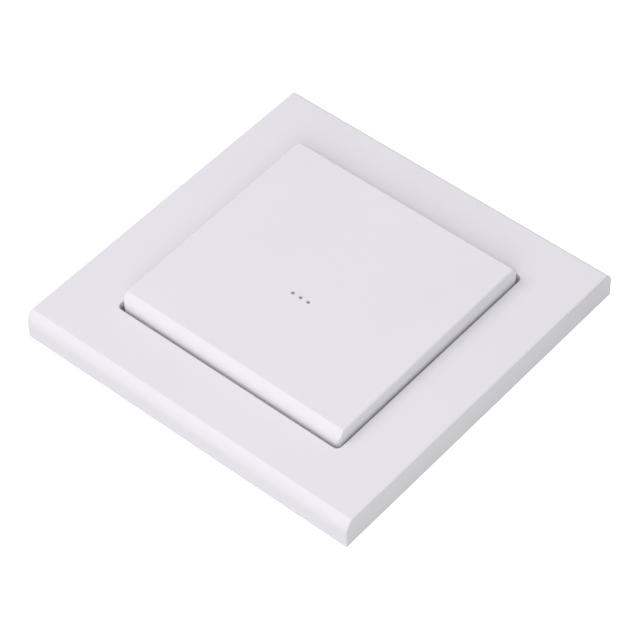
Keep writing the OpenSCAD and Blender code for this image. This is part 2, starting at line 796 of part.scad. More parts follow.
// Radio section, below the cell and to the right of the light guide
transistor = [2.9, 1.3, 1];
radio_gap = 0.9;
radio_y_share = 0.58;
radio_x = guide_l / 2 + guide_flange + radio_gap + resonator_l / 2;
radio_y = -radio_y_share * board_w / 2;
transistor_x = radio_x + resonator_l / 2 + radio_gap + transistor[0];

module radio_resonator() {
    lid_share = 0.8;
    color("silver") translate([radio_x, radio_y, 0]) {
        plate(board_top, resonator_h * lid_share)
            rounded_square(resonator_l, resonator_w, resonator_w / 10);
        plate(board_top, resonator_h)
            rounded_square(resonator_l * lid_share, resonator_w * lid_share, resonator_w / 10);
    }
}

// Small three-legged transistor
module radio_transistor() {
    foot = [0.4, 0.6, 0.15];
    spread_share = 0.33;
    color("black") translate([transistor_x, radio_y, board_top]) {
        translate([-transistor[0] / 2, -transistor[1] / 2, 0]) cube(transistor);
        for (p = [[-spread_share, -1], [spread_share, -1], [0, 1]])
            translate([p[0] * transistor[0], p[1] * (transistor[1] + foot[1]) / 2, foot[2] / 2])
                cube(foot, center = true);
    }
}

// Aerial: a wire from the board, a coil along X and a wire back into the board
aerial_shift = 2;
aerial_edge = 2.7;
aerial_lift = 0.1;
aerial_x = aerial_shift - coil_l / 2;
aerial_y = aerial_edge - board_w / 2;
COIL_STEPS = 14;
WIRE_SIDES = 6;
coil_r = (coil_d - wire_d) / 2;
coil_z = board_top + aerial_lift + coil_d / 2;

function coil_point(i) =
    let (t = i / (coil_turns * COIL_STEPS), a = -90 + 360 * coil_turns * t)
    [aerial_x + coil_l * t, aerial_y + coil_r * cos(a), coil_z + coil_r * sin(a)];

function coil_path() = [
    [aerial_x - 2 * wire_d, aerial_y, board_top],
    [aerial_x - 2 * wire_d, aerial_y, coil_z - coil_r],
    for (i = [1 : coil_turns * COIL_STEPS - 1]) coil_point(i),
    [aerial_x + coil_l + 2 * wire_d, aerial_y, coil_z - coil_r],
    [aerial_x + coil_l + 2 * wire_d, aerial_y, board_top]];

function unit(v) = v / norm(v);

// A ring of points around a path point, square to the mean of its two directions
function wire_ring(path, k) =
    let (last = len(path) - 1,
         along = unit(path[min(k + 1, last)] - path[max(k - 1, 0)]),
         across = unit(cross(along, abs(along[0]) > sqrt(1 / 2) ? [0, 0, 1] : [1, 0, 0])),
         up = cross(across, along))
    [for (j = [0 : WIRE_SIDES - 1])
        path[k] + (across * cos(360 * j / WIRE_SIDES) + up * sin(360 * j / WIRE_SIDES)) * wire_d / 2];

module wire(path) {
    rings = [for (k = [0 : len(path) - 1]) each wire_ring(path, k)];
    last = (len(path) - 1) * WIRE_SIDES;
    polyhedron(rings, concat(
        [[for (j = [0 : WIRE_SIDES - 1]) j]],
        [[for (j = [WIRE_SIDES - 1 : -1 : 0]) last + j]],
        [for (k = [0 : len(path) - 2], j = [0 : WIRE_SIDES - 1])
            let (a = k * WIRE_SIDES + j, b = k * WIRE_SIDES + (j + 1) % WIRE_SIDES)
            each [[a, a + WIRE_SIDES, b], [b, a + WIRE_SIDES, b + WIRE_SIDES]]]));
}

module aerial_coil() {
    color("peru") wire(coil_path());
}

// Chip resistors and capacitors: a row above the lamp, beside the cell, and single ones beside their neighbours.
// Each place is [x, y] and a quarter turn or none.
resistor = [2, 1.25, 0.5];
capacitor = [2, 1.25, 1.1];
part_pitch = 2.2;
part_gap = 1;
chip_side = chip_w / 2 + lead_reach;
row_x = cell_x - holder_r - part_gap - resistor[0] / 2;
row_y = indicator_y + (lamp_w + resistor[1]) / 2 + part_gap;
left_x = (chip_x - chip_side - board_w / 2) / 2;
right_x = board_w / 2 - resistor[1] - part_gap / 2;
lamp_side_x = -lamp_l / 2 - resistor[0] / 2 - part_gap;
RESISTOR_PLACES = [[row_x, row_y, 0], [row_x, row_y + 2 * part_pitch, 0],
                   [lamp_side_x, indicator_y, 0], [left_x, part_pitch, 1], [right_x, radio_y, 1]];
CAPACITOR_PLACES = [[row_x, row_y + part_pitch, 0], [row_x, row_y + 3 * part_pitch, 0],
                    [left_x, -part_pitch, 1], [right_x, radio_y + resistor[0] + part_gap, 1]];

module chip_parts(places, size) {
    for (p = places)
        translate([p[0], p[1], board_top]) rotate(90 * p[2])
            translate([-size[0] / 2, -size[1] / 2, 0]) cube(size);
}

module chip_resistors() {
    color("black") chip_parts(RESISTOR_PLACES, resistor);
}

module chip_capacitors() {
    color("tan") chip_parts(CAPACITOR_PLACES, capacitor);
}

cover_frame();
rocker();
light_guide();
wall_plate();
case_tray();
case_cover();
case_screws();
circuit_board();
battery_holder();
coin_cell();
positive_contact();
negative_contact();
switch_body(1);  // on_switch_body
switch_cover(1);  // on_switch_cover
switch_plunger(1);  // on_switch_plunger
switch_body(-1);  // off_switch_body
switch_cover(-1);  // off_switch_cover
switch_plunger(-1);  // off_switch_plunger
switch_legs();
status_lamp();
encoder_chip();
chip_leads();
radio_resonator();
radio_transistor();
aerial_coil();
chip_resistors();
chip_capacitors();
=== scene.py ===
"""Looks of the wireless wall switch: finishes, soldered details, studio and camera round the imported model."""

import logging
import math
from dataclasses import dataclass
from enum import Enum
from typing import ClassVar

import bpy
from mathutils import Matrix, Vector


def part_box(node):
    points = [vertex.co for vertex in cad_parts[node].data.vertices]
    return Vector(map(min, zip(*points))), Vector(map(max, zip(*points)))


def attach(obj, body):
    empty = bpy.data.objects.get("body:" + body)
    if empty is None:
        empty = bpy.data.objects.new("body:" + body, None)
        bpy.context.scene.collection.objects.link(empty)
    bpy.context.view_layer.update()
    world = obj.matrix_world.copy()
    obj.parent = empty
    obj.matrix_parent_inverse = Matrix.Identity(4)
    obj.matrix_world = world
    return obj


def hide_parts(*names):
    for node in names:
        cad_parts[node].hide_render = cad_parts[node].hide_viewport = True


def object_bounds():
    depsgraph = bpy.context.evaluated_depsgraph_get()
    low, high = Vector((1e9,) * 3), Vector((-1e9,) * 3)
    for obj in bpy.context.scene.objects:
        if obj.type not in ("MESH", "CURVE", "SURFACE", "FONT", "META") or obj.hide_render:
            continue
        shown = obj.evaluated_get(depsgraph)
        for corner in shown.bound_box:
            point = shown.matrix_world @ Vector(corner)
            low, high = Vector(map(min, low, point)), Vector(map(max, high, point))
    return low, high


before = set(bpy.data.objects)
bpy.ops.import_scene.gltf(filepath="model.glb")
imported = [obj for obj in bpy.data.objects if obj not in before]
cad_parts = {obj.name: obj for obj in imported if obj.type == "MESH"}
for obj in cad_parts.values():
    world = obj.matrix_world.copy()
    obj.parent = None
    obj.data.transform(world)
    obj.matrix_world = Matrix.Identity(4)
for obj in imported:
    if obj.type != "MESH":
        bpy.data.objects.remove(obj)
CAD_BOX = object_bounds()

Colour = tuple[float, float, float]
Source = bpy.types.NodeSocket | float | Colour
Shares = tuple[tuple[float, float], ...]
Place = tuple[int, ...]

MM = 0.001
WHITE: Colour = (1.0, 1.0, 1.0)
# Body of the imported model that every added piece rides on: nothing is added to the parts that move.
STILL_BODY = "base"
# Steps in a metre: points of a CAD mesh that round to the same step count as one point.
WELD_STEPS = 1e7
# Decimals of a metre by which solids are sorted.
SORT_DIGITS = 5
# Rays by which an edge is softened.
EDGE_SAMPLES = 6
# Points round a turned part or a wire.
WIRE_SIDES = 12
SMALL_SIDES = 20
MIDDLE_SIDES = 24
LARGE_SIDES = 64

log = logging.getLogger("wall_switch")


class Slot(Enum):
    """Material slots of the record."""

    WHITE_PLASTIC = "white_plastic"
    PALE_PLASTIC = "pale_plastic"
    CLEAR_PLASTIC = "clear_plastic"
    DARK_PLASTIC = "dark_plastic"
    KEY_PLASTIC = "key_plastic"
    SCREW_STEEL = "screw_steel"
    CELL_STEEL = "cell_steel"
    CONTACT_METAL = "contact_metal"
    TIN_PLATE = "tin_plate"
    COPPER_WIRE = "copper_wire"
    BOARD_LAMINATE = "board_laminate"
    CHIP_RESIN = "chip_resin"
    LAMP_RESIN = "lamp_resin"
    CAPACITOR_CERAMIC = "capacitor_ceramic"


class Half(Enum):
    """Halves of the rocker, each with a push switch under it."""

    ON = "on"
    OFF = "off"


class Detail(Enum):
    """How many finer octaves a noise has."""

    SLOW = 1.0
    PLAIN = 2.0
    FINE = 3.0
    FINEST = 4.0


class NodeSheet:
    """The node tree of one material or world, with short ways to add and link nodes."""

    def __init__(self, tree: bpy.types.NodeTree) -> None:
        """Start an empty sheet.

        Args:
            tree: The node tree to fill. What it holds is cleared.
        """
        tree.nodes.clear()
        self.tree = tree

    def add(self, kind: str, **settings: object) -> bpy.types.Node:
        """Add a node and set its properties.

        Args:
            kind: The node's class name without the leading ShaderNode.
            **settings: Properties of the node, such as operation="MULTIPLY".

        Returns:
            The new node.
        """
        node = self.tree.nodes.new("ShaderNode" + kind)
        for name, value in settings.items():
            setattr(node, name, value)
        return node

    def feed(self, target: bpy.types.NodeSocket, source: Source) -> None:
        """Link a socket or set its value.

        Args:
            target: The input socket.
            source: An output socket to link, or a value to set.
        """
        if isinstance(source, bpy.types.NodeSocket):
            self.tree.links.new(source, target)
        elif isinstance(source, tuple) and target.type == "RGBA":
            target.default_value = (*source, 1.0)
        else:
            target.default_value = source

    def fill(self, node: bpy.types.Node, sources: dict[str, Source]) -> None:
        """Link or set input sockets by name.

        Args:
            node: The node that has the sockets.
            sources: What each socket gets.
        """
        for name, source in sources.items():
            self.feed(node.inputs[name], source)

    def maths(self, operation: str, first: Source, second: Source = 0.0) -> bpy.types.NodeSocket:
        """Add a Math node.

        Args:
            operation: Name of the operation, such as "ADD".
            first: First operand, a socket or a number.
            second: Second operand, a socket or a number.

        Returns:
            The result's socket.
        """
        node = self.add("Math", operation=operation)
        self.feed(node.inputs[0], first)
        self.feed(node.inputs[1], second)
        return node.outputs[0]

    def average(self, first: Source, second: Source, share: float) -> bpy.types.NodeSocket:
        """Add up two values in shares that make 1.

        Args:
            first: First value.
            second: Second value.
            share: Share of the first value.

        Returns:
            The result's socket.
        """
        return self.maths("ADD", self.maths("MULTIPLY", first, share),
                          self.maths("MULTIPLY", second, 1.0 - share))

    def remap(self, value: Source, low: float, high: float, start: float = 0.0,
              end: float = 1.0) -> bpy.types.NodeSocket:
        """Map a value from start to end onto low to high.

        Args:
            value: The socket to map.
            low: Result at the start.
            high: Result at the end.
            start: Value that gives low.
            end: Value that gives high.

        Returns:
            The result's socket.
        """
        node = self.add("MapRange")
        self.fill(node, {"Value": value, "From Min": start, "From Max": end, "To Min": low, "To Max": high})
        return node.outputs["Result"]

    def split(self, vector: bpy.types.NodeSocket) -> list[bpy.types.NodeSocket]:
        """Split a vector.

        Args:
            vector: The vector's socket.

        Returns:
            The sockets of X, Y and Z.
        """
        node = self.add("SeparateXYZ")
        self.feed(node.inputs[0], vector)
        return list(node.outputs)

    def place(self, stretch: tuple[float, float, float] = (1.0, 1.0, 1.0)) -> bpy.types.NodeSocket:
        """Give object coordinates.

        Args:
            stretch: Factor on each axis.

        Returns:
            The coordinates' socket.
        """
        mapping = self.add("Mapping")
        self.fill(mapping, {"Vector": self.add("TexCoord").outputs["Object"], "Scale": stretch})
        return mapping.outputs["Vector"]

    def noise(self, place: Source, across: float, detail: Detail = Detail.PLAIN) -> bpy.types.NodeSocket:
        """Add a noise texture.

        Args:
            place: Coordinates to draw it in.
            across: Size of one blotch, in metres.
            detail: How fine it is.

        Returns:
            The noise's value, about 0 to 1.
        """
        node = self.add("TexNoise")
        self.fill(node, {"Vector": place, "Scale": 1.0 / across, "Detail": detail.value})
        return node.outputs["Fac"]

    def blend(self, value: Source, first: Source, second: Source) -> bpy.types.NodeSocket:
        """Mix two colours.

        Args:
            value: Share of the second colour.
            first: The colour at 0.
            second: The colour at 1.

        Returns:
            The colour's socket.
        """
        node = self.add("Mix", data_type="RGBA")
        self.fill(node, {"Factor": value, "A": first, "B": second})
        return node.outputs["Result"]

    def tint(self, colour: Colour, value: Source, swing: float) -> bpy.types.NodeSocket:
        """Lighten and darken a colour with a value in 0 to 1.

        Args:
            colour: The middle colour, linear.
            value: The socket that drives it.
            swing: Share by which the colour changes each way.

        Returns:
            The colour's socket.
        """
        darker = tuple(c * (1.0 - swing) for c in colour)
        lighter = tuple(min(1.0, c * (1.0 + swing)) for c in colour)
        return self.blend(value, darker, lighter)

    def relief(self, height: Source, depth: float,
               below: bpy.types.NodeSocket | None = None) -> bpy.types.NodeSocket:
        """Turn a height into a bumped normal.

        Args:
            height: Height in 0 to 1.
            depth: Height of 1, in metres.
            below: Normal that this relief lies on, if any.

        Returns:
            The normal's socket.
        """
        node = self.add("Bump")
        self.fill(node, {"Height": height, "Distance": depth})
        if below is not None:
            self.feed(node.inputs["Normal"], below)
        return node.outputs["Normal"]

    def softened(self, radius: float) -> bpy.types.NodeSocket:
        """Give a normal that turns over the edges as if they had a small round.

        Args:
            radius: Radius of the round, in metres.

        Returns:
            The normal's socket.
        """
        node = self.add("Bevel", samples=EDGE_SAMPLES)
        self.feed(node.inputs["Radius"], radius)
        return node.outputs["Normal"]

    def mix_shaders(self, share: bpy.types.NodeSocket, first: bpy.types.Node,
                    second: bpy.types.Node) -> bpy.types.Node:
        """Mix two shaders.

        Args:
            share: Share of the second shader.
            first: The shader at 0.
            second: The shader at 1.

        Returns:
            The mixing node.
        """
        node = self.add("MixShader")
        for socket, source in zip(node.inputs, (share, first.outputs[0], second.outputs[0])):
            self.feed(socket, source)
        return node

    def end(self, kind: str, shader: bpy.types.Node) -> None:
        """Send a shader to the output.

        Args:
            kind: Material or World.
            shader: The last shader's node.
        """
        self.feed(self.add("Output" + kind).inputs["Surface"], shader.outputs[0])


def blank_material(name: str) -> tuple[bpy.types.Material, NodeSheet]:
    """Make a material without nodes.

    Args:
        name: The material's name.

    Returns:
        The material and the sheet for its nodes.
    """
    material = bpy.data.materials.new(name)
    material.use_nodes = True
    return material, NodeSheet(material.node_tree)


def put_in_scene(name: str, data: bpy.types.ID) -> bpy.types.Object:
    """Make an object and link it to the scene.

    Args:
        name: The object's name.
        data: Its mesh, light or camera.

    Returns:
        The object.
    """
    thing = bpy.data.objects.new(name, data)
    bpy.context.scene.collection.objects.link(thing)
    return thing


@dataclass(frozen=True)
class Finish:
    """A procedural finish. A kind of finish adds its own fields and defaults, and draws itself in paint().

    Attributes:
        slot: The record's slot that the finish is for.
        colour: Middle colour, linear.
        roughness: Middle roughness.
        edge: Radius that edges look rounded by, in metres.
        swing: Share by which the colour changes each way.
        smoother: How far the roughness falls below its middle.
        rougher: How far the roughness rises above its middle.
    """

    slot: Slot
    colour: Colour
    roughness: float
    edge: float = 0.08 * MM
    swing: float = 0.1
    smoother: float = 0.06
    rougher: float = 0.06

    def material(self) -> bpy.types.Material:
        """Build the material.

        Returns:
            The finished material.
        """
        material, sheet = blank_material(self.slot.value + "_finish")
        shader = sheet.add("BsdfPrincipled")
        sheet.end("Material", shader)
        self.paint(sheet, shader)
        return material

    def feed_shader(self, sheet: NodeSheet, shader: bpy.types.Node, colour: Source, gloss: Source,
                    normal: Source) -> None:
        """Feed what every finish has.

        Args:
            sheet: The sheet to add nodes to.
            shader: The Principled shader to feed.
            colour: The colour.
            gloss: A value in 0 to 1 that drives the roughness between its ends.
            normal: The normal.
        """
        roughness = sheet.remap(gloss, self.roughness - self.smoother, self.roughness + self.rougher)
        sheet.fill(shader, {"Base Color": colour, "Roughness": roughness, "Normal": normal})

    def paint(self, sheet: NodeSheet, shader: bpy.types.Node) -> None:
        """Draw the finish.

        Args:
            sheet: The sheet to add nodes to.
            shader: The Principled shader to feed.
        """
        raise NotImplementedError


@dataclass(frozen=True)
class MouldedPlastic(Finish):
    """Injection-moulded plastic with an eroded grain.

    Attributes:
        grain: Size of one grain, in metres.
        grain_depth: Depth of the grain, in metres.
        wave: Size of the slow waves that moulding leaves, in metres.
        wave_depth: Depth of those waves, in metres.
        blotch: Size of one duller blotch, in metres.
        grain_share: Share of the grain in the gloss. The rest is blotches.
        glow_through: Subsurface weight; white plastic lets light through its thin edges.
        glow_colour: How far each colour of that light travels, as a share of reach.
        reach: How far that light travels, in metres.
    """

    swing: float = 0.012
    grain: float = 0.22 * MM
    grain_depth: float = 0.004 * MM
    wave: float = 14 * MM
    wave_depth: float = 0.02 * MM
    blotch: float = 3.5 * MM
    grain_share: float = 0.6
    glow_through: float = 0.0
    glow_colour: Colour = (1.0, 0.92, 0.96)
    reach: float = 0.3 * MM

    def paint(self, sheet: NodeSheet, shader: bpy.types.Node) -> None:
        """Draw slow waves, blotches of gloss and a fine grain.

        Args:
            sheet: The sheet to add nodes to.
            shader: The Principled shader to feed.
        """
        place = sheet.place()
        waves = sheet.noise(place, self.wave, Detail.SLOW)
        grains = sheet.noise(place, self.grain, Detail.FINE)
        blotches = sheet.noise(place, self.blotch)
        slow = sheet.relief(waves, self.wave_depth, sheet.softened(self.edge))
        self.feed_shader(sheet, shader, sheet.tint(self.colour, waves, self.swing),
                         sheet.average(grains, blotches, self.grain_share),
                         sheet.relief(grains, self.grain_depth, slow))
        sheet.fill(shader, {"Subsurface Weight": self.glow_through, "Subsurface Radius": self.glow_colour,
                            "Subsurface Scale": self.reach})


@dataclass(frozen=True)
class ClearPlastic(Finish):
    """Clear moulded plastic with a grey tint, slightly cloudy.

    Attributes:
        cloud: Size of one cloud, in metres.
        cloud_depth: Depth of the clouds in the surface, in metres.
        refraction: Index of refraction.
    """

    swing: float = 0.02
    smoother: float = 0.024
    rougher: float = 0.024
    cloud: float = 1.2 * MM
    cloud_depth: float = 0.004 * MM
    refraction: float = 1.49

    def paint(self, sheet: NodeSheet, shader: bpy.types.Node) -> None:
        """Draw clouds in the tint and the gloss.

        Args:
            sheet: The sheet to add nodes to.
            shader: The Principled shader to feed.
        """
        clouds = sheet.noise(sheet.place(), self.cloud)
        self.feed_shader(sheet, shader, sheet.tint(self.colour, clouds, self.swing), clouds,
                         sheet.relief(clouds, self.cloud_depth))
        sheet.fill(shader, {"Transmission Weight": 1.0, "IOR": self.refraction})


@dataclass(frozen=True)
class PlatedMetal(Finish):
    """Bright metal with fine brushed lines and duller patches.

    Attributes:
        line: Width of one brushed line, in metres.
        line_depth: Depth of the lines, in metres.
        line_share: Share of the lines in the gloss. The rest is patches.
        stretch: Factor on each axis for the lines; a small factor draws them out along that axis.
        patch: Size of one duller patch, in metres.
    """

    swing: float = 0.06
    smoother: float = 0.1
    rougher: float = 0.12
    line: float = 0.05 * MM
    line_depth: float = 0.001 * MM
    line_share: float = 0.5
    stretch: tuple[float, float, float] = (0.06, 1.0, 1.0)
    patch: float = 2.5 * MM

    def paint(self, sheet: NodeSheet, shader: bpy.types.Node) -> None:
        """Draw the brushed lines and the patches.

        Args:
            sheet: The sheet to add nodes to.
            shader: The Principled shader to feed.
        """
        lines = sheet.noise(sheet.place(self.stretch), self.line)
        patches = sheet.noise(sheet.place(), self.patch, Detail.FINEST)
        self.feed_shader(sheet, shader, sheet.tint(self.colour, patches, self.swing),
                         sheet.average(lines, patches, self.line_share),
                         sheet.relief(lines, self.line_depth, sheet.softened(self.edge)))
        sheet.fill(shader, {"Metallic": 1.0})


@dataclass(frozen=True)
class EnamelledWire(Finish):
    """Copper wire under a thin clear enamel.

    Attributes:
        spot: Size of one darker spot, in metres.
        spot_depth: Depth of the spots, in metres.
        enamel: Weight of the clear coat.
        enamel_roughness: Roughness of the clear coat.
    """

    swing: float = 0.15
    smoother: float = 0.05
    rougher: float = 0.05
    spot: float = 0.6 * MM
    spot_depth: float = 0.004 * MM
    enamel: float = 0.6
    enamel_roughness: float = 0.12

    def paint(self, sheet: NodeSheet, shader: bpy.types.Node) -> None:
        """Draw uneven copper under the enamel.

        Args:
            sheet: The sheet to add nodes to.
            shader: The Principled shader to feed.
        """
        spots = sheet.noise(sheet.place(), self.spot, Detail.FINE)
        self.feed_shader(sheet, shader, sheet.tint(self.colour, spots, self.swing), spots,
                         sheet.relief(spots, self.spot_depth))
        sheet.fill(shader, {"Metallic": 1.0, "Coat Weight": self.enamel,
                            "Coat Roughness": self.enamel_roughness})


@dataclass(frozen=True)
class BoardLaminate(Finish):
    """Green solder mask over woven glass laminate, with bare laminate at the cut edges.

    Attributes:
        weave: Pitch of the glass weave, in metres.
        weave_depth: Depth of the weave, in metres.
        weave_low: Brightness between the threads, where their tops have 1.
        mottle: Size of one spot where the mask is thicker, in metres.
        cut_colour: Colour of the cut edges, linear.
        cut_swing: Share by which that colour changes each way.
        flat_least: Least upward or downward part of the normal of a face that the mask covers.
    """

    swing: float = 0.25
    rougher: float = 0.1
    weave: float = 0.45 * MM
    weave_depth: float = 0.008 * MM
    weave_low: float = 0.7
    mottle: float = 3 * MM
    cut_colour: Colour = (0.42, 0.38, 0.2)
    cut_swing: float = 0.2
    flat_least: float = 0.5

    def paint(self, sheet: NodeSheet, shader: bpy.types.Node) -> None:
        """Draw the weave, the mask's uneven thickness and the cut edges.

        Args:
            sheet: The sheet to add nodes to.
            shader: The Principled shader to feed.
        """
        place = sheet.place()
        turn = 2 * math.pi / self.weave
        x, y, _ = sheet.split(place)
        threads = [sheet.maths("SINE", sheet.maths("MULTIPLY", across, turn)) for across in (x, y)]
        weave = sheet.remap(sheet.maths("MULTIPLY", *threads), 0.0, 1.0, start=-1.0, end=1.0)
        mottle = sheet.noise(place, self.mottle)
        thickness = sheet.maths("MULTIPLY", mottle, sheet.remap(weave, self.weave_low, 1.0))
        upward = sheet.split(sheet.add("NewGeometry").outputs["Normal"])[2]
        flat = sheet.maths("GREATER_THAN", sheet.maths("ABSOLUTE", upward), self.flat_least)
        cut = sheet.tint(self.cut_colour, weave, self.cut_swing)
        mask = sheet.tint(self.colour, thickness, self.swing)
        self.feed_shader(sheet, shader, sheet.blend(flat, cut, mask), mottle,
                         sheet.relief(weave, self.weave_depth))


@dataclass(frozen=True)
class CastBody(Finish):
    """Cast resin or fired ceramic with a fine sandy surface.

    Attributes:
        sand: Size of one grain, in metres.
        sand_depth: Depth of the grains, in metres.
        marble: Size of one paler vein, in metres.
        glow_through: Subsurface weight.
        reach: How far light travels inside, in metres.
    """

    smoother: float = 0.08
    rougher: float = 0.08
    sand: float = 0.06 * MM
    sand_depth: float = 0.003 * MM
    marble: float = 0.72 * MM
    glow_through: float = 0.0
    reach: float = 0.4 * MM

    def paint(self, sheet: NodeSheet, shader: bpy.types.Node) -> None:
        """Draw the sandy surface and a faint marbling.

        Args:
            sheet: The sheet to add nodes to.
            shader: The Principled shader to feed.
        """
        place = sheet.place()
        sand = sheet.noise(place, self.sand, Detail.FINEST)
        marble = sheet.noise(place, self.marble)
        self.feed_shader(sheet, shader, sheet.tint(self.colour, marble, self.swing), sand,
                         sheet.relief(sand, self.sand_depth, sheet.softened(self.edge)))
        sheet.fill(shader, {"Subsurface Weight": self.glow_through, "Subsurface Scale": self.reach})


FINISHES = (
    MouldedPlastic(Slot.WHITE_PLASTIC, (0.80, 0.775, 0.835), roughness=0.44, edge=0.35 * MM,
                   glow_through=0.35),
    MouldedPlastic(Slot.PALE_PLASTIC, (0.66, 0.65, 0.64), roughness=0.5, edge=0.12 * MM,
                   grain_depth=0.008 * MM),
    MouldedPlastic(Slot.DARK_PLASTIC, (0.028, 0.029, 0.031), roughness=0.42),
    MouldedPlastic(Slot.KEY_PLASTIC, (0.05, 0.04, 0.034), roughness=0.38),
    ClearPlastic(Slot.CLEAR_PLASTIC, (0.55, 0.57, 0.58), roughness=0.08),
    PlatedMetal(Slot.SCREW_STEEL, (0.56, 0.55, 0.53), roughness=0.3),
    PlatedMetal(Slot.CELL_STEEL, (0.64, 0.63, 0.61), roughness=0.24, stretch=(1.0, 0.05, 1.0)),
    PlatedMetal(Slot.CONTACT_METAL, (0.70, 0.62, 0.44), roughness=0.28),
    PlatedMetal(Slot.TIN_PLATE, (0.66, 0.66, 0.64), roughness=0.34, patch=1.0 * MM),
    EnamelledWire(Slot.COPPER_WIRE, (0.70, 0.30, 0.14), roughness=0.25),
    BoardLaminate(Slot.BOARD_LAMINATE, (0.018, 0.15, 0.06), roughness=0.32),
    CastBody(Slot.CHIP_RESIN, (0.022, 0.022, 0.024), roughness=0.5),
    CastBody(Slot.LAMP_RESIN, (0.78, 0.75, 0.62), roughness=0.3, glow_through=0.4),
    CastBody(Slot.CAPACITOR_CERAMIC, (0.40, 0.25, 0.13), roughness=0.42),
)
# Copper shows paler through the board's mask.
MASKED_COPPER = BoardLaminate(Slot.BOARD_LAMINATE, (0.04, 0.27, 0.1), roughness=0.3)


class Paintbox:
    """The finished materials by slot, and the one of the copper under the board's mask."""

    def __init__(self, finishes: tuple[Finish, ...]) -> None:
        """Build every material once.

        Args:
            finishes: The finishes, one for each slot.
        """
        self.materials = {finish.slot: finish.material() for finish in finishes}
        self.masked_copper = MASKED_COPPER.material()

    def dress(self, node: str, slot: Slot) -> None:
        """Give a CAD node its material.

        Args:
            node: Name of the node.
            slot: The slot that the node has in the record.
        """
        node_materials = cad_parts[node].data.materials
        node_materials.clear()
        node_materials.append(self.materials[slot])
        log.info("dressed %s in %s", node, slot.value)


@dataclass(frozen=True)
class Solid:
    """The box round one solid of a CAD node.

    Attributes:
        low: Lowest corner.
        high: Highest corner.
    """

    low: Vector
    high: Vector

    @property
    def middle(self) -> Vector:
        """Middle of the box."""
        return (self.low + self.high) / 2

    @property
    def size(self) -> Vector:
        """Size of the box."""
        return self.high - self.low


def leader_of(place: Place, leaders: dict[Place, Place]) -> Place:
    """Follow a place to the leader of its group.

    Args:
        place: The place to start from.
        leaders: The next place on the way, for each place. A leader has itself.

    Returns:
        The leader.
    """
    while leaders[place] != place:
        leaders[place] = leaders[leaders[place]]
        place = leaders[place]
    return place


def solids(node: str) -> list[Solid]:
    """Find the separate solids of a CAD node.

    Args:
        node: Name of the node.

    Returns:
        One box for each solid, from left to right.
    """
    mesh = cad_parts[node].data
    places = [tuple(round(c * WELD_STEPS) for c in vertex.co) for vertex in mesh.vertices]
    leaders = {place: place for place in places}
    for polygon in mesh.polygons:
        first = leader_of(places[polygon.vertices[0]], leaders)
        for index in polygon.vertices[1:]:
            leaders[leader_of(places[index], leaders)] = first
    groups: dict[Place, list[Vector]] = {}
    for place, vertex in zip(places, mesh.vertices):
        groups.setdefault(leader_of(place, leaders), []).append(vertex.co)
    found = [Solid(Vector(map(min, zip(*group))), Vector(map(max, zip(*group)))) for group in groups.values()]
    return sorted(found, key=lambda solid: tuple(round(c, SORT_DIGITS) for c in solid.middle.xy))


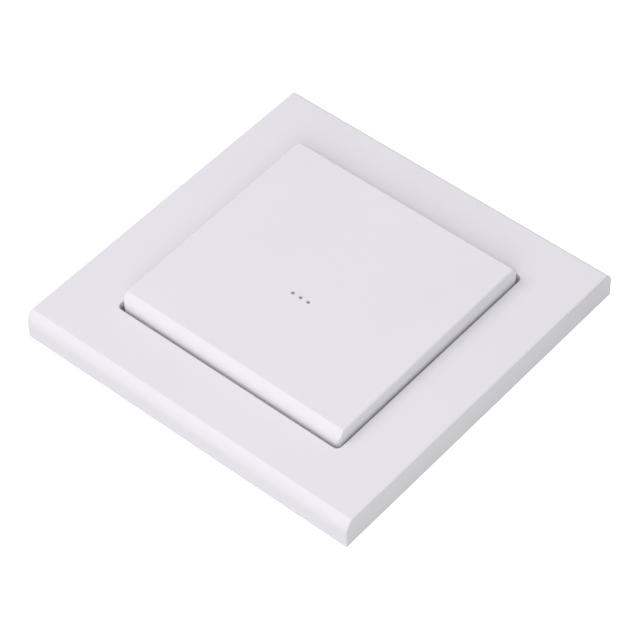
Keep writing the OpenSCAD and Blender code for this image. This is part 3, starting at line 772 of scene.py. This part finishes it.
class Piece:
    """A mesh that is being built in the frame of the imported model, in metres."""

    # Radius and height of each ring of a mound of solder, as shares of its reach and height.
    MOUND_SHARES: ClassVar[Shares] = ((1.0, 0.0), (0.93, 0.12), (0.8, 0.38), (0.62, 0.68), (0.4, 0.9),
                                      (0.15, 1.0))

    def __init__(self, name: str) -> None:
        """Start an empty piece.

        Args:
            name: The piece's name.
        """
        self.name = name
        self.points: list[Vector] = []
        self.faces: list[tuple[int, ...]] = []

    def add(self, points: list[Vector], faces: list[tuple[int, ...]]) -> None:
        """Add points and the faces between them.

        Args:
            points: The new points.
            faces: Faces, counted from the first new point.
        """
        start = len(self.points)
        self.points += points
        self.faces += [tuple(start + index for index in face) for face in faces]

    def block(self, low: Vector, high: Vector) -> None:
        """Add a box.

        Args:
            low: Lowest corner.
            high: Highest corner.
        """
        x, y, z = zip(low, high)
        points = [Vector((x[i], y[j], z[k])) for k in (0, 1) for j in (0, 1) for i in (0, 1)]
        self.add(points, [(0, 2, 3, 1), (4, 5, 7, 6), (0, 1, 5, 4), (2, 6, 7, 3), (0, 4, 6, 2), (1, 3, 7, 5)])

    def skin(self, points: list[Vector], sides: int) -> None:
        """Join rings of points by a skin that is closed at both ends.

        Args:
            points: The points, ring after ring.
            sides: Points in each ring.
        """
        last = len(points) - sides
        faces = [tuple(reversed(range(sides))), tuple(range(last, len(points)))]
        for ring in range(0, last, sides):
            for step in range(sides):
                a, b = ring + step, ring + (step + 1) % sides
                faces.append((a, b, b + sides, a + sides))
        self.add(points, faces)

    def lathe(self, centre: Vector, shares: Shares, radius: float, height: float, sides: int = SMALL_SIDES,
              squeeze: float = 1.0) -> None:
        """Turn a profile about a vertical axis.

        Args:
            centre: Point that heights and radii are measured from.
            shares: Radius and height of each ring, from the foot up, as shares of radius and height.
            radius: Radius that the shares are of.
            height: Height that the shares are of.
            sides: Points in each ring.
            squeeze: Factor on the radii along Y.
        """
        points = []
        for radius_share, height_share in shares:
            reach = radius * radius_share
            for step in range(sides):
                turn = 2 * math.pi * step / sides
                points.append(centre + Vector((reach * math.cos(turn), reach * squeeze * math.sin(turn),
                                               height * height_share)))
        self.skin(points, sides)

    def mound(self, centre: Vector, reach: float, height: float, squeeze: float = 1.0) -> None:
        """Add a low mound of solder with a hollow foot and a round top.

        Args:
            centre: Middle of its foot.
            reach: Half its length along X.
            height: Its height.
            squeeze: Its width as a share of its length.
        """
        self.lathe(centre, self.MOUND_SHARES, reach, height, squeeze=squeeze)

    def tube(self, path: list[Vector], radius: float) -> None:
        """Add a round wire along a path, closed at both ends.

        Args:
            path: Points on the wire's axis.
            radius: Radius of the wire.
        """
        points: list[Vector] = []
        across = Vector((0.0, 1.0, 0.0))
        for index, point in enumerate(path):
            along = (path[min(index + 1, len(path) - 1)] - path[max(index - 1, 0)]).normalized()
            across = (across - along * across.dot(along)).normalized()
            other = along.cross(across)
            for step in range(WIRE_SIDES):
                turn = 2 * math.pi * step / WIRE_SIDES
                points.append(point + (across * math.cos(turn) + other * math.sin(turn)) * radius)
        self.skin(points, WIRE_SIDES)

    def build(self, paints: Paintbox, slot: Slot, smooth: bool = False,
              material: bpy.types.Material | None = None) -> bpy.types.Object:
        """Make the object, dress it and let it ride on the body that stands still.

        Args:
            paints: The finished materials.
            slot: The slot that it takes its finish from.
            smooth: Whether its faces are shaded smooth.
            material: A material of its own, where the slot's isn't the one.

        Returns:
            The object.
        """
        mesh = bpy.data.meshes.new(self.name)
        mesh.from_pydata(self.points, [], self.faces)
        for polygon in mesh.polygons:
            polygon.use_smooth = smooth and len(polygon.vertices) == 4
        mesh.materials.append(material or paints.materials[slot])
        piece = put_in_scene(self.name, mesh)
        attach(piece, STILL_BODY)
        log.info("built %s with %d faces", self.name, len(self.faces))
        return piece


class Assembly:
    """A sub-assembly: CAD nodes that are dressed, and pieces for what their solids leave out.

    Attributes:
        node_slots: The record's slot of each of its CAD nodes.
    """

    node_slots: ClassVar[dict[str, Slot]]

    def build(self, paints: Paintbox) -> None:
        """Dress the nodes and add the pieces.

        Args:
            paints: The finished materials.
        """
        for node, slot in self.node_slots.items():
            paints.dress(node, slot)
        self.add_pieces(paints)

    def add_pieces(self, paints: Paintbox) -> None:
        """Add no piece, unless a sub-assembly has its own."""


class CoverFrame(Assembly):
    """The square frame that shows round the rocker, and the wall plate behind it."""

    node_slots = {"cover_frame": Slot.WHITE_PLASTIC, "wall_plate": Slot.PALE_PLASTIC}


class Rocker(Assembly):
    """The wide rocker."""

    node_slots = {"rocker": Slot.WHITE_PLASTIC}


@dataclass(frozen=True)
class TransmitterCase(Assembly):
    """The tray and the cover that close the transmitter, with their screws.

    Attributes:
        gate_r: Radius of the gate mark under the tray.
        gate_h: Height of the gate mark.
        gate_shares: Radius and height of each of its rings, as shares.
    """

    node_slots = {"case_tray": Slot.PALE_PLASTIC, "case_cover": Slot.PALE_PLASTIC,
                  "case_screws": Slot.SCREW_STEEL}

    gate_r: float = 0.8 * MM
    gate_h: float = 0.15 * MM
    gate_shares: Shares = ((0.55, 0.0), (0.8, 0.2), (1.0, 1.2))

    def add_pieces(self, paints: Paintbox) -> None:
        """Leave the gate mark under the tray.

        Args:
            paints: The finished materials.
        """
        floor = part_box("case_tray")[0].z
        gate = Piece("tray_gate_mark")
        gate.lathe(Vector((0.0, 0.0, floor - self.gate_h)), self.gate_shares, self.gate_r, self.gate_h,
                   MIDDLE_SIDES)
        gate.build(paints, Slot.PALE_PLASTIC, smooth=True)


@dataclass(frozen=True)
class CircuitBoard(Assembly):
    """The board with its chip parts, their metal ends, pads, solder and tracks.

    Attributes:
        cap_l: Length of the metal end of a chip part.
        cap_t: Thickness of that metal.
        foot_share: Length of a lead's foot, as a share of the lead's reach.
        pad_t: Thickness of the pads.
        pad_rim: How far a pad shows round a foot.
        solder_h: Height of the solder at a foot.
        solder_share: Size of the solder's foot, as a share of the pad's.
        track_w: Width of the tracks.
        track_t: Thickness of the tracks under the mask.
        track_l: Length of a short track beyond its foot. Every second pair is twice as long.
        via_r: Radius of the vias at the tracks' ends.
        via_t: Thickness of the vias.
        via_rim_share: Inner radius of a via's rim, as a share of its radius.
        via_dip_share: Radius of the dip in its middle, as a share of its radius.
    """

    node_slots = {"circuit_board": Slot.BOARD_LAMINATE, "encoder_chip": Slot.CHIP_RESIN,
                  "chip_leads": Slot.TIN_PLATE, "radio_resonator": Slot.TIN_PLATE,
                  "radio_transistor": Slot.CHIP_RESIN, "chip_resistors": Slot.CHIP_RESIN,
                  "chip_capacitors": Slot.CAPACITOR_CERAMIC}

    cap_l: float = 0.42 * MM
    cap_t: float = 0.02 * MM
    foot_share: float = 0.5
    pad_t: float = 0.03 * MM
    pad_rim: float = 0.18 * MM
    solder_h: float = 0.22 * MM
    solder_share: float = 0.97
    track_w: float = 0.25 * MM
    track_t: float = 0.02 * MM
    track_l: float = 0.8 * MM
    via_r: float = 0.3 * MM
    via_t: float = 0.035 * MM
    via_rim_share: float = 0.5
    via_dip_share: float = 0.35

    def add_pieces(self, paints: Paintbox) -> None:
        """Add metal ends, pads, solder and tracks.

        Args:
            paints: The finished materials.
        """
        self.build_caps(paints)
        self.build_pads(paints)
        self.build_tracks(paints)

    def chip_ends(self) -> list[tuple[Solid, Vector]]:
        """Find the two ends of every chip resistor and capacitor.

        Returns:
            The solid and the unit direction towards the end, for each end.
        """
        ends = []
        for solid in solids("chip_resistors") + solids("chip_capacitors"):
            along = Vector((1, 0, 0)) if solid.size.x > solid.size.y else Vector((0, 1, 0))
            ends += [(solid, along), (solid, -along)]
        return ends

    def build_caps(self, paints: Paintbox) -> None:
        """Put a metal cap on each end of the chip parts.

        Args:
            paints: The finished materials.
        """
        caps = Piece("chip_end_caps")
        skin = Vector((self.cap_t, self.cap_t, 0.0))
        for solid, along in self.chip_ends():
            low, high = solid.low - skin, solid.high + skin + Vector((0, 0, self.cap_t))
            axis = 0 if along.x else 1
            if along[axis] > 0:
                low[axis] = high[axis] - self.cap_l
            else:
                high[axis] = low[axis] + self.cap_l
            caps.block(low, high)
        caps.build(paints, Slot.TIN_PLATE)

    def chip_feet(self, top: float) -> list[tuple[Vector, float, float]]:
        """Find where the metal ends of the chip parts stand.

        Args:
            top: Height of the board's upper face.

        Returns:
            Middle of each foot and its half sizes along X and Y.
        """
        found = []
        for solid, along in self.chip_ends():
            middle = solid.middle + along * (max(solid.size.x, solid.size.y) / 2)
            half_x = self.cap_l / 2 if along.x else solid.size.x / 2
            half_y = self.cap_l / 2 if along.y else solid.size.y / 2
            found.append((Vector((middle.x, middle.y, top)), half_x, half_y))
        return found

    def lead_feet(self, leads: str, owners: list[Solid], top: float) -> list[tuple[Vector, float, float]]:
        """Find where leads stand that reach out from a body.

        Args:
            leads: Name of the leads' node.
            owners: The bodies that they reach out from.
            top: Height of the board's upper face.

        Returns:
            Middle of each foot and its half sizes along X and Y.
        """
        found = []
        for lead in solids(leads):
            owner = min(owners, key=lambda body: (body.middle - lead.middle).length)
            outward = 1 if lead.middle.x > owner.middle.x else -1
            tip = lead.high.x if outward > 0 else lead.low.x
            half_x = lead.size.x * self.foot_share / 2
            found.append((Vector((tip - outward * half_x, lead.middle.y, top)), half_x, lead.size.y / 2))
        return found

    def build_pads(self, paints: Paintbox) -> None:
        """Lay a pad under every foot and run solder up against it.

        Args:
            paints: The finished materials.
        """
        pads, solder = Piece("solder_pads"), Piece("solder_fillets")
        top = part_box("circuit_board")[1].z
        rise = Vector((0, 0, self.pad_t))
        switches = solids("on_switch_body") + solids("off_switch_body")
        feet = (self.chip_feet(top) + self.lead_feet("chip_leads", solids("encoder_chip"), top)
                + self.lead_feet("switch_legs", switches, top))
        for middle, half_x, half_y in feet:
            reach = Vector((half_x + self.pad_rim, half_y + self.pad_rim, 0.0))
            pads.block(middle - reach, middle + reach + rise)
            solder.mound(middle + rise, reach.x * self.solder_share, self.solder_h, reach.y / reach.x)
        pads.build(paints, Slot.TIN_PLATE)
        solder.build(paints, Slot.TIN_PLATE, smooth=True)

    def build_tracks(self, paints: Paintbox) -> None:
        """Run a track under the mask from each foot of the chip to a via beside it.

        Args:
            paints: The finished materials.
        """
        tracks, vias = Piece("board_tracks"), Piece("board_vias")
        via_shares = ((1.0, 0.0), (1.0, 1.0), (self.via_rim_share, 1.0),
                      (self.via_dip_share, self.track_t / self.via_t))
        half = Vector((self.track_w / 2, self.track_w / 2, 0))
        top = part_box("circuit_board")[1].z
        chip = solids("encoder_chip")[0]
        for order, foot in enumerate(sorted(solids("chip_leads"), key=lambda lead: lead.middle.y)):
            side = 1 if foot.middle.x > chip.middle.x else -1
            start = Vector((foot.middle.x, foot.middle.y, top))
            reach = foot.size.x / 2 + self.track_l * (1 + order // 2 % 2)
            end = start + Vector((side * reach, 0, 0))
            low, high = sorted((start, end), key=lambda point: point.x)
            tracks.block(low - half, high + half + Vector((0, 0, self.track_t)))
            vias.lathe(end, via_shares, self.via_r, self.via_t)
        tracks.build(paints, Slot.BOARD_LAMINATE, material=paints.masked_copper)
        vias.build(paints, Slot.TIN_PLATE, smooth=True)


@dataclass(frozen=True)
class Battery(Assembly):
    """The coin cell in its holder, with both contacts and the dark seal between can and cap.

    Attributes:
        cap_share: Height of the cell's lower cap, as a share of the cell's.
        seal_r_share: Radius of the seal round that cap, as a share of the cell's.
        seal_h: Height of the seal.
        seal_shares: Radius and height of each of its rings, as shares.
    """

    node_slots = {"battery_holder": Slot.DARK_PLASTIC, "coin_cell": Slot.CELL_STEEL,
                  "positive_contact": Slot.CONTACT_METAL, "negative_contact": Slot.CONTACT_METAL}

    cap_share: float = 0.2
    seal_r_share: float = 0.955
    seal_h: float = 0.25 * MM
    seal_shares: Shares = ((0.93, 0.0), (1.0, 0.5), (1.0, 1.2))

    def add_pieces(self, paints: Paintbox) -> None:
        """Show the seal.

        Args:
            paints: The finished materials.
        """
        cell = solids("coin_cell")[0]
        cap_top = cell.low.z + cell.size.z * self.cap_share
        seal = Piece("cell_seal")
        seal.lathe(Vector((cell.middle.x, cell.middle.y, cap_top - self.seal_h)), self.seal_shares,
                   cell.size.x / 2 * self.seal_r_share, self.seal_h, LARGE_SIDES)
        seal.build(paints, Slot.DARK_PLASTIC, smooth=True)


@dataclass(frozen=True)
class PushSwitches(Assembly):
    """The two push switches under the rocker.

    Attributes:
        stud_r: Radius of the staked studs on the metal cover.
        stud_h: Their height.
        stud_inset: Their distance from the sides.
        stud_shares: Radius and height of each of their rings, as shares.
    """

    node_slots = {f"{half.value}_switch_{part}": slot for half in Half
                  for part, slot in (("body", Slot.DARK_PLASTIC), ("plunger", Slot.KEY_PLASTIC),
                                     ("cover", Slot.TIN_PLATE))} | {"switch_legs": Slot.TIN_PLATE}

    stud_r: float = 0.5 * MM
    stud_h: float = 0.14 * MM
    stud_inset: float = 0.75 * MM
    stud_shares: Shares = ((1.0, 0.0), (0.92, 0.6), (0.6, 1.0))

    def add_pieces(self, paints: Paintbox) -> None:
        """Stake both covers with a stud at each corner.

        Args:
            paints: The finished materials.
        """
        studs = Piece("switch_studs")
        for half in Half:
            cover = solids(f"{half.value}_switch_cover")[0]
            reach_x, reach_y = cover.size.x / 2 - self.stud_inset, cover.size.y / 2 - self.stud_inset
            for x in (-1, 1):
                for y in (-1, 1):
                    foot = Vector((cover.middle.x + x * reach_x, cover.middle.y + y * reach_y, cover.high.z))
                    studs.lathe(foot, self.stud_shares, self.stud_r, self.stud_h)
        studs.build(paints, Slot.DARK_PLASTIC, smooth=True)


class Indicator(Assembly):
    """The status lamp and the clear guide above it."""

    node_slots = {"status_lamp": Slot.LAMP_RESIN, "light_guide": Slot.CLEAR_PLASTIC}


@dataclass(frozen=True)
class Aerial(Assembly):
    """The wound aerial, drawn round where the CAD node is faceted.

    Attributes:
        wire_r: Radius of the wire.
        turns: Number of turns.
        steps: Points on the path for each turn.
        tail: Length of the straight wire at each end, beyond the coil.
        bend_rise: Height of the bend at each foot.
        bend_run: Length of that bend.
        joint_r: Radius of the solder at both feet.
        joint_h: Height of that solder.
    """

    node_slots = {"aerial_coil": Slot.COPPER_WIRE}

    wire_r: float = 0.25 * MM
    turns: int = 13
    steps: int = 28
    tail: float = 1.0 * MM
    bend_rise: float = 0.1 * MM
    bend_run: float = 0.15 * MM
    joint_r: float = 0.6 * MM
    joint_h: float = 0.35 * MM

    def wire_path(self, start: Vector, end: Vector, low: float, high: float) -> list[Vector]:
        """Give the wire's way up from one foot, along the coil and down to the other foot.

        Args:
            start: The left foot, on the board.
            end: The right foot, on the board.
            low: Height of the wire's axis at the foot of a turn.
            high: Height of the wire's axis at the top of a turn.

        Returns:
            The points on the wire's axis.
        """
        radius = (high - low) / 2
        coil_start = start.x + self.tail
        coil_l = end.x - start.x - 2 * self.tail
        path = [start, Vector((start.x, start.y, low - self.bend_rise)),
                Vector((start.x + self.bend_run, start.y, low))]
        points = self.turns * self.steps
        for step in range(1, points):
            share = step / points
            turn = -math.pi / 2 + 2 * math.pi * self.turns * share
            path.append(Vector((coil_start + coil_l * share, start.y + radius * math.cos(turn),
                                low + radius + radius * math.sin(turn))))
        return path + [Vector((end.x - self.bend_run, end.y, low)),
                       Vector((end.x, end.y, low - self.bend_rise)), end]

    def add_pieces(self, paints: Paintbox) -> None:
        """Wind the coil in the box of its CAD node, replace that node and solder both feet.

        Args:
            paints: The finished materials.
        """
        low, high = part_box("aerial_coil")
        middle_y, board = (low.y + high.y) / 2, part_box("circuit_board")[1].z
        start = Vector((low.x + self.wire_r, middle_y, board))
        end = Vector((high.x - self.wire_r, middle_y, board))
        crest = high.z - self.wire_r
        foot = crest - (high.y - low.y - 2 * self.wire_r)
        coil = Piece("aerial_winding")
        coil.tube(self.wire_path(start, end, foot, crest), self.wire_r)
        winding = coil.build(paints, Slot.COPPER_WIRE, smooth=True)
        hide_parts("aerial_coil")
        joints = Piece("aerial_joints")
        for centre in (start, end):
            joints.mound(centre, self.joint_r, self.joint_h)
        joints.build(paints, Slot.TIN_PLATE, smooth=True)


@dataclass(frozen=True)
class Studio:
    """Floor and world.

    Attributes:
        floor_side: Side of the square floor, in metres.
        open_share: Side of the part of the floor that lets light reach the back of the switch, as a share
            of the switch's own side. The switch covers it.
        open_drop: How far that part lies below the rest, clear of the switch's back, in metres.
        floor_colour: Colour of the floor as the object sees it, linear.
        floor_lit: Share of the light that the camera sees fall on the floor.
        floor_glow: White that the floor shows the camera besides.
        sky: Strength of the world.
        sky_colour: Colour of the world.
    """

    floor_side: float = 6.0
    open_share: float = 0.94
    open_drop: float = 0.5 * MM
    floor_colour: Colour = (0.55, 0.55, 0.56)
    floor_lit: float = 0.35
    floor_glow: float = 0.86
    sky: float = 0.56
    sky_colour: Colour = (0.96, 1.0, 0.96)

    def seen_ray(self, sheet: NodeSheet) -> bpy.types.NodeSocket:
        """Give 1 on rays that show the background: from the camera, or by way of gloss or glass.

        Args:
            sheet: The sheet to add the nodes to.

        Returns:
            The value's socket.
        """
        path = sheet.add("LightPath")
        gloss = sheet.maths("MAXIMUM", path.outputs["Is Glossy Ray"], path.outputs["Is Transmission Ray"])
        return sheet.maths("MAXIMUM", path.outputs["Is Camera Ray"], gloss)

    def paper(self) -> bpy.types.Material:
        """Make the floor's material: white to the camera apart from shadows, and clear from below.

        Returns:
            The material.
        """
        material, sheet = blank_material("floor_paper")
        plain, dim = sheet.add("BsdfDiffuse"), sheet.add("BsdfDiffuse")
        glow, seen = sheet.add("Emission"), sheet.add("AddShader")
        sheet.fill(plain, {"Color": self.floor_colour})
        sheet.fill(dim, {"Color": (self.floor_lit,) * 3})
        sheet.fill(glow, {"Strength": self.floor_glow})
        sheet.feed(seen.inputs[0], dim.outputs[0])
        sheet.feed(seen.inputs[1], glow.outputs[0])
        upper = sheet.mix_shaders(self.seen_ray(sheet), plain, seen)
        below = sheet.add("NewGeometry").outputs["Backfacing"]
        sheet.end("Material", sheet.mix_shaders(below, upper, sheet.add("BsdfTransparent")))
        return material

    def covered_paper(self) -> bpy.types.Material:
        """Make the material under the switch: dark behind the switch's holes, and clear to light.

        Returns:
            The material.
        """
        material, sheet = blank_material("covered_paper")
        above = sheet.maths("SUBTRACT", 1.0, sheet.add("NewGeometry").outputs["Backfacing"])
        seen = sheet.maths("MULTIPLY", sheet.add("LightPath").outputs["Is Camera Ray"], above)
        plain = sheet.add("BsdfDiffuse")
        sheet.fill(plain, {"Color": self.floor_colour})
        sheet.end("Material", sheet.mix_shaders(seen, sheet.add("BsdfTransparent"), plain))
        return material

    def build_floor(self) -> None:
        """Lay the floor at the back of the switch."""
        opening = CAD_BOX[1][0] * self.open_share
        squares = ((self.floor_side / 2, 0.0), (opening, 0.0), (opening, -self.open_drop))
        corners = [(x * reach, y * reach, z) for reach, z in squares
                   for x, y in ((-1, -1), (1, -1), (1, 1), (-1, 1))]
        border = [(i, (i + 1) % 4, (i + 1) % 4 + 4, i + 4) for i in range(4)]
        covered = tuple(range(len(corners) - 4, len(corners)))
        mesh = bpy.data.meshes.new("floor")
        mesh.from_pydata(corners, [], [*border, covered])
        mesh.materials.append(self.paper())
        mesh.materials.append(self.covered_paper())
        mesh.polygons[len(border)].material_index = 1
        put_in_scene("floor", mesh)
        log.info("floor laid")

    def build_world(self) -> None:
        """Make the world: white where it is seen, and soft light elsewhere."""
        world = bpy.data.worlds.new("studio")
        world.use_nodes = True
        sheet = NodeSheet(world.node_tree)
        lit, seen = sheet.add("Background"), sheet.add("Background")
        sheet.fill(lit, {"Color": self.sky_colour, "Strength": self.sky})
        sheet.fill(seen, {"Color": WHITE})
        sheet.end("World", sheet.mix_shaders(self.seen_ray(sheet), lit, seen))
        bpy.context.scene.world = world
        log.info("world made")


def direction(azimuth: float, elevation: float) -> Vector:
    """Give the direction from the switch towards a viewer.

    Args:
        azimuth: 0 stands on the -Y side and 90 on the +X side, in degrees.
        elevation: Height above the horizon, in degrees.

    Returns:
        The unit vector.
    """
    turn = math.radians(azimuth)
    lift = math.radians(elevation)
    return Vector((math.sin(turn) * math.cos(lift), -math.cos(turn) * math.cos(lift), math.sin(lift)))


@dataclass(frozen=True)
class Softbox:
    """One square area lamp that looks at the switch. Gloss shows the white room, not the lamp.

    Attributes:
        name: The lamp's name.
        azimuth: Direction that it stands in, as the camera's, in degrees.
        elevation: Height above the horizon, in degrees.
        power: Power in watts.
        colour: Colour of the light.
        distance: Distance from the switch, in metres.
        side: Side of the lamp, in metres.
    """

    name: str
    azimuth: float
    elevation: float
    power: float
    colour: Colour
    distance: float = 1.2
    side: float = 0.8

    def build(self) -> None:
        """Hang the lamp."""
        data = bpy.data.lights.new(self.name, "AREA")
        data.shape = "SQUARE"
        data.size = self.side
        data.energy = self.power
        data.color = self.colour
        lamp = put_in_scene(self.name, data)
        back = direction(self.azimuth, self.elevation)
        lamp.location = back * self.distance
        lamp.visible_glossy = False
        lamp.rotation_mode = "QUATERNION"
        lamp.rotation_quaternion = (-back).to_track_quat("-Z", "Y")
        log.info("hung %s", self.name)


@dataclass(frozen=True)
class PhotoCamera:
    """The camera of the photograph.

    Attributes:
        azimuth: Direction that it stands in, in degrees.
        elevation: Height above the horizon, in degrees.
        roll: Turn about its own axis, in degrees.
        distance: Distance from the point that it looks at, in metres.
        aim: The point that it looks at.
        near: Distance at which its view starts.
        picture: Side of the square picture, in pixels.
        focal: Focal length, in pixels.
    """

    azimuth: float = 41.3187
    elevation: float = 48.6244
    roll: float = -1.3556
    distance: float = 557.69 * MM
    aim: tuple[float, float, float] = (0.808 * MM, -1.214 * MM, 0.0)
    near: float = 10 * MM
    picture: float = 640.0
    focal: float = 2879.2

    def build(self) -> None:
        """Stand the camera."""
        data = bpy.data.cameras.new("camera")
        data.lens = data.sensor_width * self.focal / self.picture
        data.clip_start = self.near
        camera = put_in_scene("camera", data)
        back = direction(self.azimuth, self.elevation)
        right = Vector((0, 0, 1)).cross(back).normalized()
        up = back.cross(right)
        turn = Matrix.Rotation(math.radians(self.roll), 3, back)
        axes = Matrix((turn @ right, turn @ up, back)).transposed().to_4x4()
        camera.matrix_world = Matrix.Translation(Vector(self.aim) + back * self.distance) @ axes
        bpy.context.scene.camera = camera
        log.info("camera stands")


LAMPS = (
    Softbox("key_lamp", azimuth=30, elevation=30, power=5.4, colour=(0.983, 1.0, 0.935)),
    Softbox("fill_lamp", azimuth=-45, elevation=55, power=5.35, colour=(0.983, 0.909, 1.0)),
)


def main() -> None:
    """Build everything in order."""
    logging.basicConfig(level=logging.INFO, format="%(name)s: %(message)s")
    bpy.context.scene.view_settings.view_transform = "Standard"
    PhotoCamera().build()
    studio = Studio()
    studio.build_floor()
    studio.build_world()
    for lamp in LAMPS:
        lamp.build()
    paints = Paintbox(FINISHES)
    for assembly in (CoverFrame(), Rocker(), TransmitterCase(), CircuitBoard(), Battery(), PushSwitches(),
                     Indicator(), Aerial()):
        assembly.build(paints)


if __name__ == "__main__":
    main()
